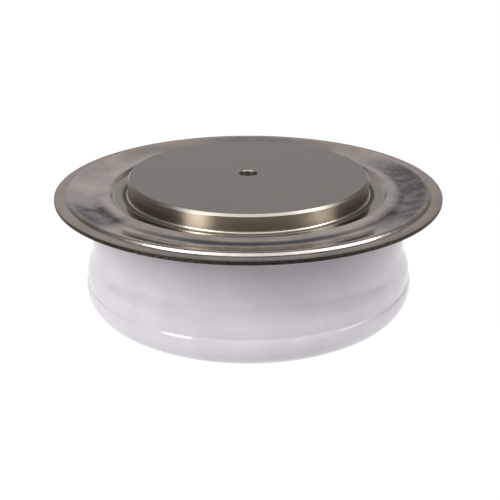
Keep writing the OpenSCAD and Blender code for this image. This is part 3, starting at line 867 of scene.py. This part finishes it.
def build_pieces():
    """Makes the outer pieces, and gives each inner solid the finish of its real material."""
    # The chamfers and centring holes get the nickel whose lighter colour is painted highlight
    face, wall, edge_finish_painted_highlight = lapped_nickel(), turned_nickel(), nickel_with_painted_highlight()
    sheet, seam, braze = pressed_nickel_sheet(), weld_seam(), silver_braze()
    cathode_pole(face, wall, edge_finish_painted_highlight)
    anode_pole(face, wall, edge_finish_painted_highlight)
    lid_flange(sheet, seam)
    weld_ring(fired_nickel_sheet(), seam)
    base_flange(sheet)
    ceramic_ring(glazed_alumina(), bare_alumina())
    braze_fillet("lid_braze_finish", "lid_braze_fillet", MOAT_Z, 1, braze)
    braze_fillet("base_braze_finish", "base_braze_fillet", ANODE_BOSS_H - SHEET_T, -1, braze)
    gate_feedthrough(sheet)
    gate_terminal(tinned_pin())
    silver, molybdenum, plastic = rolled_silver(), ground_molybdenum(), turned_fluoropolymer()
    inner = {
        "anode_shim": silver,
        "cathode_shim": silver,
        "anode_molybdenum_disc": molybdenum,
        "cathode_molybdenum_disc": molybdenum,
        "silicon_wafer": diffused_silicon(),
        "edge_seal_ring": cast_silicone(),
        "centring_ring": plastic,
        "gate_insulator": plastic,
        "gate_lead_sleeve": plastic,
        "gate_contact_pin": silver,
        "gate_spring": drawn_spring_wire(),
        "gate_lead": silver}
    for node, finish in inner.items():
        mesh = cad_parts[node].data
        mesh.materials.clear()
        mesh.materials.append(finish)


# The stage

# Radiance of the fill light, against white paper at 1
FILL = 0.11


def towards(azimuth, elevation):
    """Unit vector from the object at an azimuth from the camera's side and an elevation."""
    a, e = math.radians(azimuth), math.radians(elevation)
    return Vector((math.sin(a) * math.cos(e), -math.cos(a) * math.cos(e), math.sin(e)))


def aim(made, azimuth, elevation, distance, target=(0, 0, 0)):
    """Puts a lamp or the camera into the scene at a distance from a target, facing it."""
    back = towards(azimuth, elevation)
    made.location = Vector(target) + back * distance
    made.rotation_euler = back.to_track_quat("Z", "Y").to_euler()
    bpy.context.scene.collection.objects.link(made)


def softbox(name, azimuth, elevation, distance, width, height, radiance):
    """A white rectangular lamp that faces the object. Its power is radiance times pi times its area."""
    lamp = bpy.data.lights.new(name, "AREA")
    lamp.shape = "RECTANGLE"
    lamp.size, lamp.size_y = width, height
    lamp.energy = radiance * math.pi * width * height
    made = bpy.data.objects.new(name, lamp)
    aim(made, azimuth, elevation, distance)
    return made


def seen(tree):
    """1 for rays from the camera, in reflections and through glass, and 0 for diffuse ones."""
    path = add(tree, "ShaderNodeLightPath").node.outputs
    rays = path["Is Camera Ray"]
    for kind in ("Is Glossy Ray", "Is Transmission Ray"):
        rays = add(tree, "ShaderNodeMath", {0: rays, 1: path[kind]}, operation="MAXIMUM")
    return rays


def studio_world():
    """White to the camera, to reflections and to glass, and a grey fill light for the rest."""
    world = bpy.data.worlds.new("studio")
    bpy.context.scene.world = world
    world.use_nodes = True
    tree = world.node_tree
    strength = add(tree, "ShaderNodeMapRange", {
        "Value": seen(tree), "From Min": 0.0, "From Max": 1.0, "To Min": FILL, "To Max": 1.0})
    shader = tree.nodes["Background"]
    shader.inputs["Color"].default_value = (1, 1, 1, 1)
    tree.links.new(strength, shader.inputs["Strength"])


def stage_material(name):
    """A material without a shader, and the tree to build one in."""
    made = bpy.data.materials.new(name)
    made.use_nodes = True
    tree = made.node_tree
    tree.nodes.remove(tree.nodes["Principled BSDF"])
    return made, tree


def panel(azimuth, elevation, centre, size):
    """How much of a soft panel covers each direction: exp(-(x / w) ** 4 - (y / h) ** 4), where x and
    y are the angles from the panel's centre across and up, and w and h its size those ways."""
    across = (azimuth - centre[0] + 180) % 360 - 180
    up = elevation - centre[1]
    return np.exp(-(across / size[0]) ** 4 - (up / size[1]) ** 4)


def shell_colour(azimuth, elevation):
    """Colour of the studio in a direction: dim walls, a bluish upper part that takes over from them
    along 1 / (1 + exp(-y)), with y how far a direction is above upper_start in units of blend_deg,
    a slightly warmer front, and a pale backdrop behind the object."""
    upper_start, blend_deg = 46, 2
    walls, upper, front, backdrop = (
        np.array(linear(colour)[:3]) for colour in ("#665F58", "#5B616B", "#6E645A", "#B9B6B6"))
    top = 1 / (1 + np.exp(-(elevation - upper_start) / blend_deg))
    ahead = panel(azimuth, elevation, centre=(0, 12), size=(36, 34))
    behind = panel(azimuth, elevation, centre=(-174, 20), size=(40, 27))
    colour = walls
    for part, share in ((upper, top), (front, ahead), (backdrop, behind)):
        colour = colour + (part - colour) * share[:, None]
    return colour


def studio_shell():
    """A dim shell far round the object, seen only in reflections. It is a hemisphere: the point
    in the direction of azimuth a and elevation e is (sin a cos e, -cos a cos e, sin e)."""
    radius, around, up = 2.5, 144, 46
    azimuth = np.arange(around) * 360 / around
    elevation = np.arange(up) * 90 / up
    e, a = (grid.ravel() for grid in np.meshgrid(elevation, azimuth, indexing="ij"))
    e, a = np.append(e, 90), np.append(a, 0)
    er, ar = np.radians(e), np.radians(a)
    points = radius * np.stack([np.sin(ar) * np.cos(er), -np.cos(ar) * np.cos(er), np.sin(er)], 1)
    i, j = np.meshgrid(np.arange(up - 1), np.arange(around), indexing="ij")
    k = (j + 1) % around
    quads = [i * around + j, (i + 1) * around + j, (i + 1) * around + k, i * around + k]
    faces = np.stack(quads, 2).reshape(-1, 4).tolist()
    last, ring = (up - 1) * around, np.arange(around)
    peak = np.full(around, up * around)
    faces += np.stack([last + ring, peak, last + (ring + 1) % around], 1).tolist()
    shell = new_object("studio_shell", points, faces)
    glow = shell.data.attributes.new("glow", "FLOAT_COLOR", "POINT")
    colour = np.concatenate([shell_colour(a, e), np.ones((len(a), 1))], 1)
    glow.data.foreach_set("color", colour.ravel())
    made, tree = stage_material("studio_shell")
    light = add(tree, "ShaderNodeEmission", {
        "Color": add(tree, "ShaderNodeAttribute", out="Color", attribute_name="glow"),
        "Strength": 1.0})
    tree.links.new(light, tree.nodes["Material Output"].inputs["Surface"])
    made.cycles.emission_sampling = "NONE"
    shell.data.materials.append(made)
    shell.visible_camera = shell.visible_diffuse = shell.visible_shadow = False
    shell.visible_transmission = shell.visible_volume_scatter = False


def floor():
    """A white floor that shows the object's soft shadow. To the camera and in reflections most of
    its white is its own, so that it meets the white background. To diffuse rays it also glows by
    itself close round the object, as a light table does, and hardly at all further out."""
    reach = 4.0
    corners = reach * np.array([[-1, -1, 0], [1, -1, 0], [1, 1, 0], [-1, 1, 0]])
    paper_floor = new_object("floor", corners, [(0, 1, 2, 3)])
    made, tree = stage_material("white_paper")
    glow_radiance, seen_glow, near_glow, far_glow = 1.14, 0.86, 0.5, 0.02
    near_r, far_r = 45.0, 75.0
    radius = add(tree, "ShaderNodeVectorMath", {0: from_axis(tree)}, out="Value", operation="LENGTH")
    unseen_glow = add(tree, "ShaderNodeMapRange", {
        "Value": radius, "From Min": near_r, "From Max": far_r,
        "To Min": near_glow, "To Max": far_glow})
    share = add(tree, "ShaderNodeMapRange", {
        "Value": seen(tree), "From Min": 0.0, "From Max": 1.0,
        "To Min": unseen_glow, "To Max": seen_glow})
    paper = add(tree, "ShaderNodeBsdfDiffuse", {"Color": linear("#A9A9A9")})
    glow = add(tree, "ShaderNodeEmission", {"Color": (1, 1, 1, 1), "Strength": glow_radiance})
    mix = add(tree, "ShaderNodeMixShader", {0: share, 1: paper, 2: glow})
    tree.links.new(mix, tree.nodes["Material Output"].inputs["Surface"])
    paper_floor.data.materials.append(made)


def camera():
    """The camera of the photograph: its distance, its elevation and the point it looks at."""
    lens = bpy.data.cameras.new("camera")
    lens.sensor_width, lens.lens = 36, 63.98
    lens.clip_start, lens.clip_end = 0.01, 20
    made = bpy.data.objects.new("camera", lens)
    aim(made, azimuth=0, elevation=22.6, distance=0.180, target=Vector((0.33, 0, 9.7)) * MM)
    bpy.context.scene.camera = made


def stage():
    """Camera, lamps, white surroundings and floor."""
    camera()
    studio_world()
    studio_shell()
    floor()
    softbox("left_softbox", azimuth=-51, elevation=38, distance=0.8,
            width=0.26, height=0.46, radiance=8.8)
    softbox("right_softbox", azimuth=77, elevation=38, distance=0.8,
            width=0.30, height=0.50, radiance=4.8)
    low_fill = softbox("low_left_fill", azimuth=-78, elevation=14, distance=0.8,
                       width=0.50, height=0.36, radiance=0.75)
    low_fill.visible_glossy = False
    softbox("overhead_softbox", azimuth=0, elevation=70, distance=0.94,
            width=1.7, height=0.62, radiance=1.43)
    bpy.context.scene.view_settings.view_transform = "Standard"


stage()
build_pieces()
